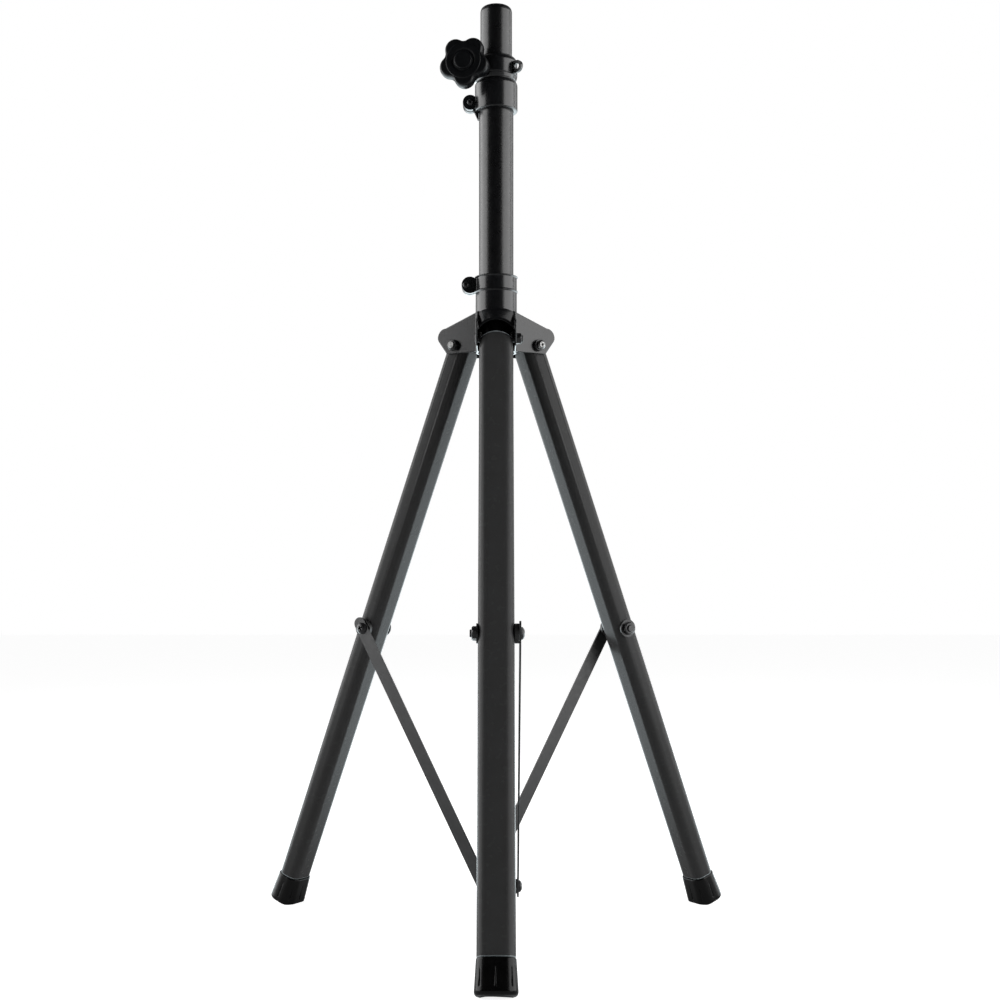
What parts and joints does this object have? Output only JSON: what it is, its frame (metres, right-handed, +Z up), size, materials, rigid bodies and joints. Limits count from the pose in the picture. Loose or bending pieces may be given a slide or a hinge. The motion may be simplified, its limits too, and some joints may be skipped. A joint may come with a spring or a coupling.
{
  "type": "loudspeaker tripod stand",
  "caption": "Folding tripod stand for a loudspeaker: telescopic mast with a 35 mm pole, star-knob clamp, sliding hub, tube legs on rubber feet and flat braces.",
  "frame": {"origin": "on the floor, under the axis of the mast, with the stand open", "axes": "+Z up along the mast; the front leg points along -Y, the other two at 30 and 150 degrees from +X"},
  "size_m": [0.5392, 0.4705, 1.0186],
  "materials": {
    "foot_rubber": "satin moulded rubber",
    "tube_coat": "satin black powder coat",
    "brace_coat": "satin dark grey coat",
    "cast_coat": "satin dark grey cast",
    "knob_plastic": "semi-gloss black",
    "bush_plastic": "matt black",
    "zinc_steel": "zinc plated",
    "black_steel": "blackened"
  },
  "bodies": {
    "mast": {"outer_tube": "tube_coat", "base_plug": "cast_coat", "base_rivets": "black_steel", "base_screws": "black_steel", "upper_collar": "cast_coat", "collar_fixing_bolt": "black_steel", "collar_fixing_nut": "zinc_steel", "clamp_bush": "bush_plastic", "clamp_nut": "zinc_steel", "clamp_washer": "zinc_steel"},
    "height_knob": {"knob_body": "knob_plastic", "knob_cap": "knob_plastic", "knob_stud": "zinc_steel"},
    "pole": {"inner_tube": "tube_coat", "pole_cap": "knob_plastic", "pole_guide_bush": "bush_plastic"},
    "hub": {"hub_casting": "cast_coat", "hub_clamp_bolt": "black_steel", "hub_clamp_nut": "zinc_steel", "leg_pivot_bolt_front": "black_steel", "leg_pivot_nut_front": "black_steel", "leg_pivot_bolt_right": "black_steel", "leg_pivot_nut_right": "black_steel", "leg_pivot_bolt_left": "black_steel", "leg_pivot_nut_left": "black_steel"},
    "leg_front": {"leg_tube_front": "tube_coat", "leg_foot_front": "foot_rubber", "brace_spacer_front": "bush_plastic", "brace_bolt_front": "black_steel", "brace_nut_front": "black_steel"},
    "leg_right": {"leg_tube_right": "tube_coat", "leg_foot_right": "foot_rubber", "brace_spacer_right": "bush_plastic", "brace_bolt_right": "black_steel", "brace_nut_right": "black_steel"},
    "leg_left": {"leg_tube_left": "tube_coat", "leg_foot_left": "foot_rubber", "brace_spacer_left": "bush_plastic", "brace_bolt_left": "black_steel", "brace_nut_left": "black_steel"},
    "brace_front": {"brace_front": "brace_coat"},
    "brace_right": {"brace_right": "brace_coat"},
    "brace_left": {"brace_left": "brace_coat"}
  },
  "joints": [
    {"name": "tripod_fold", "type": "hinge", "parent": "mast", "child": "brace_front", "pos_m": [0, 0, 0.047], "axis": [-1, 0, 0], "range_deg": [0, 21.6]},
    {"name": "front_knee", "type": "hinge", "parent": "brace_front", "child": "leg_front", "pos_m": [0, -0.16355, 0.33084], "axis": [-1, 0, 0], "range_deg": [-41.67, 0]},
    {"name": "front_leg_pivot", "type": "hinge", "parent": "leg_front", "child": "hub", "pos_m": [0, -0.0415, 0.6455], "axis": [-1, 0, 0], "range_deg": [0, 20.07]},
    {"name": "right_brace_pivot", "type": "hinge", "parent": "mast", "child": "brace_right", "pos_m": [0, 0, 0.047], "axis": [0.5, -0.866, 0], "range_deg": [0, 21.6]},
    {"name": "right_knee", "type": "hinge", "parent": "brace_right", "child": "leg_right", "pos_m": [0.14164, 0.08177, 0.33084], "axis": [0.5, -0.866, 0], "range_deg": [-41.67, 0]},
    {"name": "left_brace_pivot", "type": "hinge", "parent": "mast", "child": "brace_left", "pos_m": [0, 0, 0.047], "axis": [0.5, 0.866, 0], "range_deg": [0, 21.6]},
    {"name": "left_knee", "type": "hinge", "parent": "brace_left", "child": "leg_left", "pos_m": [-0.14164, 0.08177, 0.33084], "axis": [0.5, 0.866, 0], "range_deg": [-41.67, 0]},
    {"name": "pole_slide", "type": "slide", "parent": "mast", "child": "pole", "axis": [0, 0, 1], "range_m": [0, 0.75]},
    {"name": "knob_turn", "type": "hinge", "parent": "mast", "child": "height_knob", "pos_m": [-0.02817, 0.00599, 0.95], "axis": [-0.2079, -0.9781, 0], "range_deg": [0, 540]}
  ],
  "couplings": [
    {"joint": "front_knee", "follows": "tripod_fold", "ratio": -1.9288},
    {"joint": "front_leg_pivot", "follows": "tripod_fold", "ratio": 0.9288},
    {"joint": "right_brace_pivot", "follows": "tripod_fold", "ratio": 1},
    {"joint": "right_knee", "follows": "tripod_fold", "ratio": -1.9288},
    {"joint": "left_brace_pivot", "follows": "tripod_fold", "ratio": 1},
    {"joint": "left_knee", "follows": "tripod_fold", "ratio": -1.9288}
  ]
}
